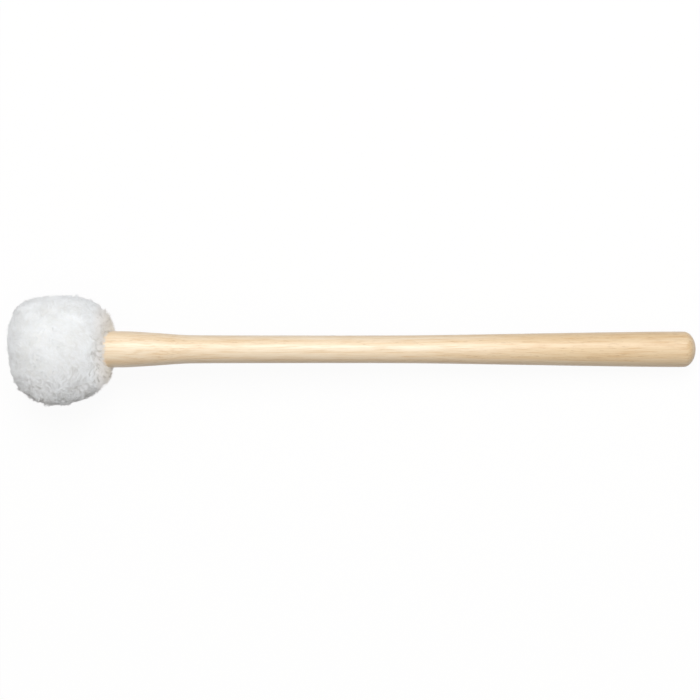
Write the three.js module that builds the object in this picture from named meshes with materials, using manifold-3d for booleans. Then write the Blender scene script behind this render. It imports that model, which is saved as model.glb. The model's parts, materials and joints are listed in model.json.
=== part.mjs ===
// Bass drum mallet: a turned hickory shaft that carries a puffy fleece head.
// It lies on a level surface, which the foot of the fleece and the butt of the shaft touch.
// Millimetres, +Z up. The head is at -X, the butt at +X, and +Y is across the shaft.
import * as THREE from 'three'
import { mergeVertices } from 'three/addons/utils/BufferGeometryUtils.js'
import Module from 'manifold-3d'

const wasm = await Module()
wasm.setup()

// Fits and facets
const fitGap = 0.3 // between two pieces that sit on one another
const cutOverrun = 5 // how far a cutter stands past what it cuts
const aroundSteps = 32 // facets round a turned piece
const smallSteps = 20 // facets round the screw
const arcSteps = 3 // facets along a rounded edge
const buttSteps = 7 // facets along the rounded butt

// Shaft, with each place along the axis measured from the middle of the head
const shaftReach = 333
const headEndDiameter = 19.05
const slimDiameter = 14.8
const waistDiameter = 14.5
const gripDiameter = 18.6
const gripLength = 5 // the stretch of full width before the butt is rounded
const flareStart = 28
const flareLength = 42
const waistPlace = 157
const buttRoundLength = 6
const buttFlatDiameter = 5
const tenonDiameter = 12.7
const tenonShortfall = 0.8 // the tenon stops this far inside the bush, so that the screw clamps
const tenonChamfer = 1
// How far along the flare, and what is left there of the step down to the slim stretch
const flareShares = [
  [0, 1], [0.17, 0.96], [0.37, 0.75], [0.57, 0.49], [0.77, 0.2], [0.9, 0.05], [1, 0],
]
// How far along the swell, and how much of the step up to the grip is reached there
const swellShares = [
  [0, 0], [0.19, 0.06], [0.32, 0.2], [0.45, 0.38], [0.57, 0.54], [0.7, 0.71], [0.83, 0.87],
  [0.93, 0.97], [1, 1],
]
const outlineSteps = 2 // facets between two of those places

// Hardwood bush on the tenon
const bushDiameter = 24
const bushLength = 19
const bushRearPlace = 9
const bushChamfer = 0.8

// Washer and pan-head wood screw
const washerDiameter = 17
const washerThickness = 1.5
const screwDiameter = 4.2
const screwLength = 22
const screwPointLength = 3
const screwHeadDiameter = 8
const screwHeadHeight = 3
const screwHeadRim = 1.4
const pilotSpareDepth = 1
const crossLength = 4.6
const crossWidth = 1.2
const crossDepth = 1.6

// Felt under the cover
const feltThickness = 3
const feltTurns = 2
const featherEdge = 0.6 // thickness left at the two skived ends of the strip
const frontPadThickness = 7
const rearRingThickness = 3.5
const feltEdgeRound = 2.5

// Knitted backing of the cover, drawn in to a neck on the shaft
const backingThickness = 1
const neckSpare = 0.4 // bare neck beyond the last turn of the thread

// Thread wound round the neck
const threadDiameter = 1
const threadPitch = 1.45
const threadTurns = 4
const threadSides = 6
const threadStepsPerTurn = 24

// Outside of the pile
const headFrontReach = 28.6
const headRearReach = 29.3
const headRadius = 28.95
const headDroop = 0.75 // the -Y side is fuller than the +Y side by twice this
const pileDrawBack = 4.6 // how far the pile is parted above and below the shaft
const footPress = 0.8 // how far the pile is pressed flat where it rests
const squareness = 2.5 // 2 is an ellipse, and more is squarer
const squarenessStep = 0.35 // added on the +Y side and taken off on the -Y side
const pileSteps = 22 // facets from the front of the head to the shaft

// Sizes that follow from the ones above
const headEndRadius = headEndDiameter / 2
const gripRadius = gripDiameter / 2
const tenonRadius = tenonDiameter / 2
const bushRadius = bushDiameter / 2
const screwRadius = screwDiameter / 2
const washerRadius = washerDiameter / 2
const screwHeadRadius = screwHeadDiameter / 2
const threadRadius = threadDiameter / 2
const onShaftRadius = headEndRadius + fitGap
const pilotRadius = screwRadius + fitGap
const feltInnerRadius = bushRadius + fitGap
const feltPitch = feltThickness + fitGap
const feltRadius = feltInnerRadius + feltTurns * feltPitch - fitGap
const backingInnerRadius = feltRadius + fitGap
const neckRadius = onShaftRadius + backingThickness
const threadPathRadius = neckRadius + fitGap + threadRadius
const pileThreadRadius = threadPathRadius + threadRadius + fitGap

// Faces along the axis, from the front of the head to the rear
const bushFrontPlace = bushRearPlace - bushLength
const washerRearPlace = bushFrontPlace - fitGap
const washerFrontPlace = washerRearPlace - washerThickness
const screwSeatPlace = washerFrontPlace - fitGap
const screwFrontPlace = screwSeatPlace - screwHeadHeight
const screwTipPlace = screwSeatPlace + screwLength
const padRearPlace = bushFrontPlace - fitGap
const padFrontPlace = padRearPlace - frontPadThickness
const tenonEndPlace = bushFrontPlace + tenonShortfall
const shoulderPlace = bushRearPlace + fitGap
const ringRearPlace = shoulderPlace + rearRingThickness
const backingFrontPlace = padFrontPlace - fitGap
const backingRearPlace = ringRearPlace + fitGap
const neckStartPlace = backingRearPlace + backingThickness
const threadStartPlace = neckStartPlace + fitGap + threadRadius
const threadEndPlace = threadStartPlace + threadTurns * threadPitch
const neckEndPlace = threadEndPlace + threadRadius + neckSpare
const buttRoundPlace = shaftReach - buttRoundLength
const swellLength = buttRoundPlace - gripLength - waistPlace

// The tilt at which the pressed foot and the butt's lower edge touch one level surface
const restHeight = headRadius - footPress
const buttEdgeTilt = Math.atan2(gripRadius, buttRoundPlace)
const restTilt = Math.asin(restHeight / Math.hypot(buttRoundPlace, gripRadius)) - buttEdgeTilt

function finish(color, roughness, metalness = 0) {
  return new THREE.MeshStandardMaterial({ color, roughness, metalness })
}

const hickory = finish(0xe6cda4, 0.42)
const maple = finish(0xd8b98a, 0.6)
const zinc = finish(0xc3c7cc, 0.35, 1)
const woolFelt = finish(0xd9d5cb, 0.95)
const knitCloth = finish(0xe4e2dc, 0.9)
const cottonThread = finish(0xefece4, 0.85)
const whiteFleece = finish(0xebedee, 1)

function piece(name, geometry, material) {
  const mesh = new THREE.Mesh(geometry, material)
  mesh.name = name
  return mesh
}

// A piece turned about the X axis. Each outline point is [place along X, radius].
function turned(outline, steps = aroundSteps) {
  const points = outline.map(([along, radius]) => new THREE.Vector2(radius, along))
  return new THREE.LatheGeometry(points, steps).rotateZ(-Math.PI / 2)
}

// A quarter of an ellipse about a centre, from one angle to the next, as outline points
function roundedEdge(alongCentre, radiusCentre, alongSize, radiusSize, fromAngle, toAngle, steps = arcSteps) {
  const points = []
  for (let step = 0; step <= steps; step += 1) {
    const angle = fromAngle + (toAngle - fromAngle) * step / steps
    points.push([alongCentre + alongSize * Math.cos(angle), radiusCentre + radiusSize * Math.sin(angle)])
  }
  return points
}

function solidFrom(geometry) {
  const bare = geometry.clone()
  bare.deleteAttribute('normal')
  bare.deleteAttribute('uv')
  const merged = mergeVertices(bare)
  const vertProperties = new Float32Array(merged.attributes.position.array)
  const triVerts = new Uint32Array(merged.index.array)
  return new wasm.Manifold(new wasm.Mesh({ numProp: 3, vertProperties, triVerts }))
}

function geometryFrom(solid) {
  const mesh = solid.getMesh()
  const geometry = new THREE.BufferGeometry()
  geometry.setAttribute('position', new THREE.BufferAttribute(mesh.vertProperties, 3))
  geometry.setIndex(new THREE.BufferAttribute(mesh.triVerts, 1))
  geometry.computeVertexNormals()
  return geometry
}

// The shaft's outside from the tenon's shoulder to the butt, as smooth as a turner leaves it
function shaftOutline() {
  const stations = [[shoulderPlace, headEndDiameter]]
  for (const [along, left] of flareShares) {
    const diameter = slimDiameter + (headEndDiameter - slimDiameter) * left
    stations.push([flareStart + flareLength * along, diameter])
  }
  for (const [along, reached] of swellShares) {
    const diameter = waistDiameter + (gripDiameter - waistDiameter) * reached
    stations.push([waistPlace + swellLength * along, diameter])
  }
  stations.push([buttRoundPlace, gripDiameter])
  const knots = stations.map(([along, diameter]) => new THREE.Vector3(along, diameter / 2, 0))
  const curve = new THREE.CatmullRomCurve3(knots, false, 'centripetal')
  return curve.getPoints((knots.length - 1) * outlineSteps).map((point) => [point.x, point.y])
}

// One turned stick: a bored and chamfered tenon, a shoulder, the outline and a rounded butt
function makeShaft() {
  const flatAngle = Math.asin(buttFlatDiameter / gripDiameter)
  const roundSize = buttRoundLength / Math.cos(flatAngle)
  const butt = roundedEdge(buttRoundPlace, 0, roundSize, gripRadius, Math.PI / 2, flatAngle, buttSteps)
  return turned([
    [screwTipPlace + pilotSpareDepth, 0],
    [screwTipPlace + pilotSpareDepth, pilotRadius],
    [tenonEndPlace, pilotRadius],
    [tenonEndPlace, tenonRadius - tenonChamfer],
    [tenonEndPlace + tenonChamfer, tenonRadius],
    [shoulderPlace, tenonRadius],
    ...shaftOutline(),
    ...butt.slice(1),
    [shaftReach, 0],
  ])
}

function makeBush() {
  const boreRadius = tenonRadius + fitGap
  return turned([
    [bushFrontPlace, boreRadius],
    [bushFrontPlace, bushRadius - bushChamfer],
    [bushFrontPlace + bushChamfer, bushRadius],
    [bushRearPlace - bushChamfer, bushRadius],
    [bushRearPlace, bushRadius - bushChamfer],
    [bushRearPlace, boreRadius],
    [bushFrontPlace, boreRadius],
  ])
}

function makeWasher() {
  return turned([
    [washerFrontPlace, pilotRadius],
    [washerFrontPlace, washerRadius],
    [washerRearPlace, washerRadius],
    [washerRearPlace, pilotRadius],
    [washerFrontPlace, pilotRadius],
  ])
}

// Pan-head screw with a plain shank, a point and a cross recess
function makeScrew() {
  const domeCentre = screwSeatPlace - screwHeadRim
  const domeHeight = screwHeadHeight - screwHeadRim
  const dome = roundedEdge(domeCentre, 0, domeHeight, screwHeadRadius, Math.PI / 2, Math.PI)
  const blank = solidFrom(turned([
    [screwTipPlace, 0],
    [screwTipPlace - screwPointLength, screwRadius],
    [screwSeatPlace, screwRadius],
    [screwSeatPlace, screwHeadRadius],
    ...dome.slice(0, -1),
    [screwFrontPlace, 0],
  ].reverse(), smallSteps))
  const slotHeight = crossDepth + cutOverrun
  const slotPlace = screwFrontPlace + crossDepth - slotHeight / 2
  const upright = new THREE.BoxGeometry(slotHeight, crossWidth, crossLength).translate(slotPlace, 0, 0)
  const level = new THREE.BoxGeometry(slotHeight, crossLength, crossWidth).translate(slotPlace, 0, 0)
  return geometryFrom(blank.subtract(solidFrom(upright)).subtract(solidFrom(level)))
}

// A felt strip wound round the bush. Its two ends are skived, so that the roll is round.
function makeFeltWrap() {
  const firstTurn = featherEdge / feltPitch
  const lastTurn = feltTurns + (feltThickness - fitGap - featherEdge) / feltPitch
  const steps = Math.round((lastTurn - firstTurn) * aroundSteps)
  const outer = []
  const inner = []
  for (let step = 0; step <= steps; step += 1) {
    const turn = firstTurn + (lastTurn - firstTurn) * step / steps
    const spiralRadius = feltInnerRadius + feltPitch * turn
    const outerRadius = Math.min(feltRadius, spiralRadius)
    const innerRadius = Math.max(feltInnerRadius, spiralRadius - feltThickness)
    const direction = new THREE.Vector2(Math.cos(2 * Math.PI * turn), Math.sin(2 * Math.PI * turn))
    outer.push(direction.clone().multiplyScalar(outerRadius))
    inner.unshift(direction.clone().multiplyScalar(innerRadius))
  }
  const section = new THREE.Shape([...outer, ...inner])
  const strip = new THREE.ExtrudeGeometry(section, { depth: bushLength, bevelEnabled: false })
  return strip.rotateY(Math.PI / 2).translate(bushFrontPlace, 0, 0)
}

// Felt disc over the front of the head, recessed over the washer and the screw's head
function makeFrontPad() {
  const washerRecess = washerRadius + fitGap
  const screwRecess = screwHeadRadius + fitGap
  const edgeCentre = padFrontPlace + feltEdgeRound
  return turned([
    [padFrontPlace, 0],
    ...roundedEdge(edgeCentre, feltRadius - feltEdgeRound, feltEdgeRound, feltEdgeRound, Math.PI, Math.PI / 2),
    [padRearPlace, feltRadius],
    [padRearPlace, washerRecess],
    [screwSeatPlace, washerRecess],
    [screwSeatPlace, screwRecess],
    [screwFrontPlace - fitGap, screwRecess],
    [screwFrontPlace - fitGap, 0],
  ])
}

function makeRearRing() {
  const edgeCentre = ringRearPlace - feltEdgeRound
  return turned([
    [shoulderPlace, onShaftRadius],
    [shoulderPlace, feltRadius],
    ...roundedEdge(edgeCentre, feltRadius - feltEdgeRound, feltEdgeRound, feltEdgeRound, Math.PI / 2, 0),
    [ringRearPlace, onShaftRadius],
    [shoulderPlace, onShaftRadius],
  ])
}

// The outline of a bag round the felt, grown by a thickness, from the front pole to the neck
function bagOutline(grown) {
  const edgeRadius = feltEdgeRound + fitGap + grown
  const edgeReach = backingInnerRadius + grown - edgeRadius
  const front = backingFrontPlace - grown
  const rear = backingRearPlace + grown
  return [
    [front, 0],
    ...roundedEdge(front + edgeRadius, edgeReach, edgeRadius, edgeRadius, Math.PI, Math.PI / 2),
    ...roundedEdge(rear - edgeRadius, edgeReach, edgeRadius, edgeRadius, Math.PI / 2, 0),
  ]
}

// Knitted bag, one thickness of cloth, with its neck lying on the shaft
function makeBacking() {
  return turned([
    ...bagOutline(backingThickness),
    [neckStartPlace, neckRadius],
    [neckEndPlace, neckRadius],
    [neckEndPlace, onShaftRadius],
    [backingRearPlace, onShaftRadius],
    ...bagOutline(0).reverse(),
  ])
}

// The line of the thread: its turns round the neck, with a straight tail at either end
function threadPoints() {
  const steps = threadTurns * threadStepsPerTurn
  const points = []
  const headings = []
  for (let step = 0; step <= steps; step += 1) {
    const turn = step / threadStepsPerTurn
    const angle = 2 * Math.PI * turn
    const outward = new THREE.Vector3(0, Math.cos(angle), Math.sin(angle))
    points.push(outward.multiplyScalar(threadPathRadius).setX(threadStartPlace + threadPitch * turn))
    headings.push(new THREE.Vector3(0, -Math.sin(angle), Math.cos(angle)))
  }
  const firstTail = points[0].clone().addScaledVector(headings[0], -threadDiameter)
  const lastTail = points[steps].clone().addScaledVector(headings[steps], threadDiameter)
  return [firstTail, ...points, lastTail]
}

// The least gap between two stretches of the thread that lie half a turn or more apart
function leastThreadGap(points) {
  let gap = Infinity
  points.forEach((point, index) => {
    for (const other of points.slice(index + threadStepsPerTurn / 2)) {
      gap = Math.min(gap, point.distanceTo(other) - threadDiameter)
    }
  })
  return gap
}

function makeThread() {
  const points = threadPoints()
  console.log(`gather thread: least gap between its turns ${leastThreadGap(points).toFixed(2)} mm`)
  return sweptTube(points, threadRadius, threadSides)
}

// A closed tube through points that wind about the X axis, with one ring of sides a point
function sweptTube(points, radius, sides) {
  const positions = []
  const triangles = []
  points.forEach((point, index) => {
    const before = points[Math.max(index - 1, 0)]
    const after = points[Math.min(index + 1, points.length - 1)]
    const heading = after.clone().sub(before).normalize()
    const outward = new THREE.Vector3(0, point.y, point.z).normalize()
    const across = new THREE.Vector3().crossVectors(heading, outward).normalize()
    const upright = new THREE.Vector3().crossVectors(across, heading)
    for (let side = 0; side < sides; side += 1) {
      const angle = 2 * Math.PI * side / sides
      const vertex = point.clone().addScaledVector(across, radius * Math.cos(angle))
      positions.push(...vertex.addScaledVector(upright, radius * Math.sin(angle)).toArray())
    }
  })
  const ringCount = points.length
  for (let ring = 0; ring < ringCount - 1; ring += 1) {
    for (let side = 0; side < sides; side += 1) {
      const here = ring * sides + side
      const next = ring * sides + (side + 1) % sides
      triangles.push(here, here + sides, next, next, here + sides, next + sides)
    }
  }
  const last = (ringCount - 1) * sides
  for (let side = 1; side < sides - 1; side += 1) {
    triangles.push(0, side, side + 1, last, last + side + 1, last + side)
  }
  return indexed(positions, triangles)
}

function indexed(positions, triangles) {
  const geometry = new THREE.BufferGeometry()
  geometry.setAttribute('position', new THREE.Float32BufferAttribute(positions, 3))
  geometry.setIndex(triangles)
  geometry.computeVertexNormals()
  return geometry
}

// The pile's section at one angle round the axis, measured from +Y towards +Z. The outside is
// a squared ellipse that stops where it meets the shaft; the inside follows the backing.
function pileSection(angle) {
  const radius = headRadius - headDroop * Math.cos(angle)
  const power = 2 / (squareness + squarenessStep * Math.cos(angle))
  const rearReach = headRearReach - pileDrawBack * Math.sin(angle) ** 2
  const lastSweep = Math.PI - Math.asin((onShaftRadius / radius) ** (1 / power))
  const section = []
  for (let step = 0; step <= pileSteps; step += 1) {
    const sweep = lastSweep * step / pileSteps
    const reach = sweep < Math.PI / 2 ? -headFrontReach : rearReach
    section.push([reach * Math.abs(Math.cos(sweep)) ** power, radius * Math.sin(sweep) ** power])
  }
  return [
    ...section,
    [neckEndPlace + fitGap, onShaftRadius],
    [neckEndPlace + fitGap, pileThreadRadius],
    [neckStartPlace + fitGap, pileThreadRadius],
    ...bagOutline(backingThickness + fitGap).reverse(),
  ]
}

// The pile is closed at its two poles, outside and inside, and open to the shaft at the rear
function pileBlank() {
  const positions = []
  const triangles = []
  const count = pileSection(0).length
  for (let around = 0; around < aroundSteps; around += 1) {
    const angle = 2 * Math.PI * around / aroundSteps
    for (const [along, radius] of pileSection(angle)) {
      positions.push(along, radius * Math.cos(angle), radius * Math.sin(angle))
    }
    const here = around * count
    const next = (around + 1) % aroundSteps * count
    for (let step = 0; step < count - 1; step += 1) {
      triangles.push(here + step, next + step, here + step + 1)
      triangles.push(next + step, next + step + 1, here + step + 1)
    }
  }
  return indexed(positions, triangles)
}

// The pile pressed flat where the tilted mallet rests on the surface under its butt
function makePile(tilted, surfaceHeight) {
  const span = 2 * (headRadius + cutOverrun)
  const below = new THREE.BoxGeometry(2 * span, 2 * span, span)
  below.translate(0, 0, surfaceHeight - span / 2)
  below.applyMatrix4(tilted.matrixWorld.clone().invert())
  return geometryFrom(solidFrom(pileBlank()).subtract(solidFrom(below)))
}

const mallet = new THREE.Group()
mallet.rotation.y = restTilt
mallet.add(piece('shaft', makeShaft(), hickory))
mallet.add(piece('core_bush', makeBush(), maple))
mallet.add(piece('head_washer', makeWasher(), zinc))
mallet.add(piece('head_screw', makeScrew(), zinc))
mallet.add(piece('felt_wrap', makeFeltWrap(), woolFelt))
mallet.add(piece('front_felt_pad', makeFrontPad(), woolFelt))
mallet.add(piece('rear_felt_ring', makeRearRing(), woolFelt))
mallet.add(piece('cover_backing', makeBacking(), knitCloth))
mallet.add(piece('gather_thread', makeThread(), cottonThread))

// The surface that it lies on is level with the lowest point of the shaft
mallet.updateMatrixWorld(true)
const shaftBox = new THREE.Box3().setFromObject(mallet.getObjectByName('shaft'), true)
mallet.add(piece('fleece_pile', makePile(mallet, shaftBox.min.z), whiteFleece))

// The origin is the middle of the bottom of the whole mallet's box
mallet.updateMatrixWorld(true)
const wholeBox = new THREE.Box3().setFromObject(mallet, true)
const boxCentre = wholeBox.getCenter(new THREE.Vector3())
mallet.position.set(-boxCentre.x, -boxCentre.y, -wholeBox.min.z)

const group = new THREE.Group()
group.add(mallet)
export default group
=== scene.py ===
# %% [markdown]
# # A bass drum mallet with a fleece head
# The mallet is one turned hickory stick with a soft white head. It lies on a pale floor, and
# the camera looks straight down on the stick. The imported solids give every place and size,
# and this script gives them their looks: it turns a smooth stick, winds the felt, sews the
# cover, ties its neck with thread, and grows the fleece strand by strand.

# %% Load the frame
import json
import math

import bpy
import numpy as np
from mathutils import Matrix, Vector, noise
from mathutils.kdtree import KDTree

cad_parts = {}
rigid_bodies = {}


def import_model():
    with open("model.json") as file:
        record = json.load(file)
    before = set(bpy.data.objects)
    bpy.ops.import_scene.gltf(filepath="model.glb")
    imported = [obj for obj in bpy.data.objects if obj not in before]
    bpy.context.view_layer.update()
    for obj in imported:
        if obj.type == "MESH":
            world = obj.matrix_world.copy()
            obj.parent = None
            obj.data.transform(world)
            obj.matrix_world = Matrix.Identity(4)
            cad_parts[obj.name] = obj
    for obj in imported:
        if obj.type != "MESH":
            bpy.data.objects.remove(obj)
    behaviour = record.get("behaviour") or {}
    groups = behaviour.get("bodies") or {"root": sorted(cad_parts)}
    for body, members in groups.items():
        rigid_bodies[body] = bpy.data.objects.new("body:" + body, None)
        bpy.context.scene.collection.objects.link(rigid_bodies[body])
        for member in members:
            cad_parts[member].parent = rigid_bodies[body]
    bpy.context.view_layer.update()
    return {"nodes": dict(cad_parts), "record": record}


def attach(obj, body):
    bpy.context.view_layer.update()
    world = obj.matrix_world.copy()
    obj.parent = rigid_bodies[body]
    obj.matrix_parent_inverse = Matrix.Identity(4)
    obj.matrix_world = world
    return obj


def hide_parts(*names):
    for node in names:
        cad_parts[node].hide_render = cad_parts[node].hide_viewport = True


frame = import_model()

nodes = frame["nodes"]
mounts = {mount["name"]: mount for mount in frame["record"]["mounts"]}
print("pieces in the frame:", sorted(nodes))

# %% [markdown]
# ## Where the stick lies
# The head is thicker than the butt, so a mallet that lies on a table slopes a little. All the
# turned pieces share one axis. It is easiest to make each of them along X, with the middle of
# the head at zero, and to lay it down at the end with one matrix. The flat at the butt gives
# the axis its place and its slope, so nothing is measured twice.

# %% The mallet's own axes
MM = 0.001
shaft_reach = 333 * MM  # from the middle of the head to the butt

butt_place = Vector(mounts["butt_face"]["pos_m"])
axis_x = Vector(mounts["butt_face"]["axis"]).normalized()
axis_y = Vector((0, 1, 0))
axis_z = axis_x.cross(axis_y).normalized()
head_centre = butt_place - axis_x * shaft_reach
laid_down = Matrix.Translation(head_centre) @ Matrix((axis_x, axis_y, axis_z)).transposed().to_4x4()
slope = math.asin(-axis_x.z)
print(f"head centre {[round(v / MM, 2) for v in head_centre]} mm, slope {math.degrees(slope):.2f} degrees")

# %% [markdown]
# ## The camera
# The photograph is taken square to the stick, from about a metre away. A long lens at that
# distance keeps the butt and the flare at one scale, and still shows a little of the head's
# rear face. The lens follows from the width that the picture has to hold.

# %% Camera
picture_side = 700  # pixels
pixel_size = 0.525 * MM  # on the mallet's axis
head_centre_pixel = (60.5, 349.3)  # where the middle of the head lies in the picture
camera_distance = 1.0
sensor_side = 36.0

middle = picture_side / 2
view_x = (middle - head_centre_pixel[0]) * pixel_size
view_y = (head_centre_pixel[1] - middle) * pixel_size
camera_data = bpy.data.cameras.new("camera")
camera_data.sensor_width = sensor_side
camera_data.lens = sensor_side * camera_distance / (picture_side * pixel_size)
camera = bpy.data.objects.new("camera", camera_data)
bpy.context.scene.collection.objects.link(camera)
camera.matrix_world = laid_down @ Matrix.Translation((view_x, view_y, camera_distance))
bpy.context.scene.camera = camera
print(f"lens {camera_data.lens:.1f} mm")

# %% [markdown]
# ## Helpers for materials
# Colours are written as on a paint chip, in sRGB, and one function turns them to the linear
# values that the shaders need. One more function adds a node, sets it and links it, so each
# material reads as a short list of nodes. Patterns are drawn on the mallet's own axes, in
# real sizes, so grain runs along the stick however the mallet lies.

# %% Colour and node helpers
def linear(chip):
    """A colour such as #F0E0C0 as linear red, green, blue and alpha."""
    parts = [int(chip[place:place + 2], 16) / 255 for place in (1, 3, 5)]
    return (*(part / 12.92 if part <= 0.04045 else ((part + 0.055) / 1.055) ** 2.4 for part in parts), 1.0)


def add_node(material, kind, inputs=None, **settings):
    """A node of this kind, with its settings, and each input set to a value or linked."""
    node = material.node_tree.nodes.new(kind)
    for name, value in settings.items():
        setattr(node, name, value)
    for socket, value in (inputs or {}).items():
        if isinstance(value, bpy.types.NodeSocket):
            material.node_tree.links.new(value, node.inputs[socket])
        else:
            node.inputs[socket].default_value = value
    return node


def new_material(name):
    """An empty node material."""
    material = bpy.data.materials.new(name)
    material.use_nodes = True
    material.node_tree.nodes.clear()
    return material


def show(material, shader):
    """Make this shader the material's surface."""
    add_node(material, "ShaderNodeOutputMaterial", {"Surface": shader.outputs[0]})
    return material


def show_surface(material, inputs):
    """Make a principled shader with these inputs the material's surface."""
    return show(material, add_node(material, "ShaderNodeBsdfPrincipled", inputs))


def add_ramp(material, factor, stops):
    """A colour ramp over a factor, with stops of place and colour chip or grey value."""
    ramp = add_node(material, "ShaderNodeValToRGB", {"Fac": factor})
    elements = ramp.color_ramp.elements
    while len(elements) < len(stops):
        elements.new(0.5)
    for element, (place, tone) in zip(elements, stops):
        element.position = place
        element.color = linear(tone) if isinstance(tone, str) else (tone, tone, tone, 1.0)
    return ramp.outputs["Color"]


def add_mix(material, factor, first, second, blend="MIX"):
    """Two colours mixed by a factor."""
    mix = add_node(material, "ShaderNodeMix", {0: factor, 6: first, 7: second}, data_type="RGBA", blend_type=blend)
    return mix.outputs[2]


def add_math(material, operation, *values):
    """One step of arithmetic on values or sockets."""
    return add_node(material, "ShaderNodeMath", dict(enumerate(values)), operation=operation).outputs[0]


def add_bump(material, height, strength, distance, inputs=None, **settings):
    """A bump from a height, as a normal."""
    sockets = {"Strength": strength, "Distance": distance, "Height": height, **(inputs or {})}
    return add_node(material, "ShaderNodeBump", sockets, **settings).outputs["Normal"]


def add_seen(material):
    """One where the camera, a reflection or glass sees the surface, and zero where it only gives light."""
    rays = add_node(material, "ShaderNodeLightPath")
    seen = add_math(material, "ADD", rays.outputs["Is Camera Ray"], rays.outputs["Is Glossy Ray"])
    return add_math(material, "ADD", seen, rays.outputs["Is Transmission Ray"])


def own_axes(material):
    """Object coordinates turned to the mallet's own axes, with the middle of the head at zero."""
    place = add_node(material, "ShaderNodeTexCoord").outputs["Object"]
    turned = add_node(material, "ShaderNodeMapping", {
        "Vector": place, "Location": head_centre, "Rotation": laid_down.to_euler(),
    }, vector_type="TEXTURE")
    return turned.outputs["Vector"]


def add_grain(material, place, sizes, detail=2.0, roughness=0.5, distortion=0.0):
    """Noise whose grains measure about sizes, along the mallet's own X, Y and Z."""
    stretch = add_node(material, "ShaderNodeMapping", {"Vector": place, "Scale": [1 / size for size in sizes]})
    grain = add_node(material, "ShaderNodeTexNoise", {
        "Vector": stretch.outputs["Vector"], "Scale": 1.0, "Detail": detail,
        "Roughness": roughness, "Distortion": distortion,
    })
    return grain.outputs["Fac"]


def put_on(piece, material):
    """Give a piece this material alone."""
    piece.data.materials.clear()
    piece.data.materials.append(material)


# %% [markdown]
# ## Floor and light
# The photograph has a clean white ground and very soft light: one softbox nearly over the
# camera, a little beyond the mallet, and as much light again from all around. The floor gives
# the mallet only a little of that light back, so the near side of the stick stays in shade.
# It is lifted to white where the camera or a reflection sees it, and keeps a faint shadow. The
# world does the same, and what lights the mallet from it is warm and dim low down.

# %% Floor
floor_side = 6.0
floor_lift = 0.94  # how much of the white that the camera sees is the floor's own
floor_grey = 0.15  # the part of the light on it that the floor gives back to the mallet

bpy.ops.mesh.primitive_plane_add(size=floor_side)
floor = bpy.context.object
floor.name = "floor"
paper = new_material("pale_paper_floor")
seen = add_seen(paper)
tone = add_node(paper, "ShaderNodeMapRange", {"Value": seen, "To Min": floor_grey, "To Max": 1.0})
shade = add_node(paper, "ShaderNodeBsdfDiffuse", {"Color": tone.outputs["Result"]})
lit = add_node(paper, "ShaderNodeEmission", {"Color": (1, 1, 1, 1), "Strength": 1.0})
lift = add_math(paper, "MULTIPLY", seen, floor_lift)
show(paper, add_node(paper, "ShaderNodeMixShader", {0: lift, 1: shade.outputs[0], 2: lit.outputs[0]}))
put_on(floor, paper)

# %% World and lamp
sky_level = 0.82  # of the fill from overhead
sky_colours = [(0.2, "#5C4026"), (1.0, "#FFFDF8")]  # from low down to overhead
key_power = 10.1  # watts
key_side = 0.75
key_distance = 1.3
key_lean = math.radians(27)  # from straight up, towards +Y

world = bpy.data.worlds.new("studio")
world.use_nodes = True
world.node_tree.nodes.clear()
bpy.context.scene.world = world
upward = add_node(world, "ShaderNodeSeparateXYZ", {
    "Vector": add_node(world, "ShaderNodeTexCoord").outputs["Generated"],
}).outputs["Z"]
sky = add_ramp(world, upward, sky_colours)
fill = add_node(world, "ShaderNodeBackground", {"Color": sky, "Strength": sky_level})
white = add_node(world, "ShaderNodeBackground", {"Color": (1, 1, 1, 1), "Strength": 1.0})
seen = add_seen(world)
ground = add_node(world, "ShaderNodeMixShader", {0: seen, 1: fill.outputs[0], 2: white.outputs[0]})
add_node(world, "ShaderNodeOutputWorld", {"Surface": ground.outputs[0]})

key_data = bpy.data.lights.new("key_softbox", "AREA")
key_data.shape = "SQUARE"
key_data.size = key_side
key_data.energy = key_power
key = bpy.data.objects.new("key_softbox", key_data)
bpy.context.scene.collection.objects.link(key)
key_direction = Vector((0, math.sin(key_lean), math.cos(key_lean)))
key.matrix_world = (laid_down @ Matrix.Translation(Vector((view_x, 0, 0)) + key_direction * key_distance)
                    @ key_direction.to_track_quat("Z", "Y").to_matrix().to_4x4())
bpy.context.scene.view_settings.view_transform = "Standard"
print("key light at", [round(v, 3) for v in key.matrix_world.translation])

# %% [markdown]
# ## Turning a piece
# Nearly every piece here came off a lathe or is round for another reason. A lathe needs only
# an outline: one vertex is extruded from point to point along it, and the line is spun about
# the axis. Spin leaves doubled points where it closes and on the axis, so they are merged, and
# the normals are then made to point outwards.

# %% Lathe
doubled = 0.002 * MM  # points closer than this are one point
crease_angle = math.radians(35)  # a sharper edge than this stays sharp


def select_alone(obj):
    """Make one object the active one, and the only one selected."""
    bpy.ops.object.select_all(action="DESELECT")
    bpy.context.view_layer.objects.active = obj
    obj.select_set(True)


def start_edit(obj):
    """Edit mode on one object alone, with all of it selected."""
    select_alone(obj)
    bpy.ops.object.mode_set(mode="EDIT")
    bpy.ops.mesh.select_all(action="SELECT")


def draw_line(name, points):
    """A new object in edit mode: a chain of vertices through points."""
    bpy.ops.object.select_all(action="DESELECT")
    bpy.ops.mesh.primitive_plane_add(size=MM)
    obj = bpy.context.object
    obj.name = obj.data.name = name
    start_edit(obj)
    bpy.ops.mesh.merge(type="CENTER")
    bpy.ops.mesh.select_mode(type="VERT")
    bpy.ops.transform.translate(value=points[0])
    for before, after in zip(points, points[1:]):
        step = Vector(after) - Vector(before)
        bpy.ops.mesh.extrude_vertices_move(TRANSFORM_OT_translate={"value": step})
    bpy.ops.mesh.select_all(action="SELECT")
    return obj


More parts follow.
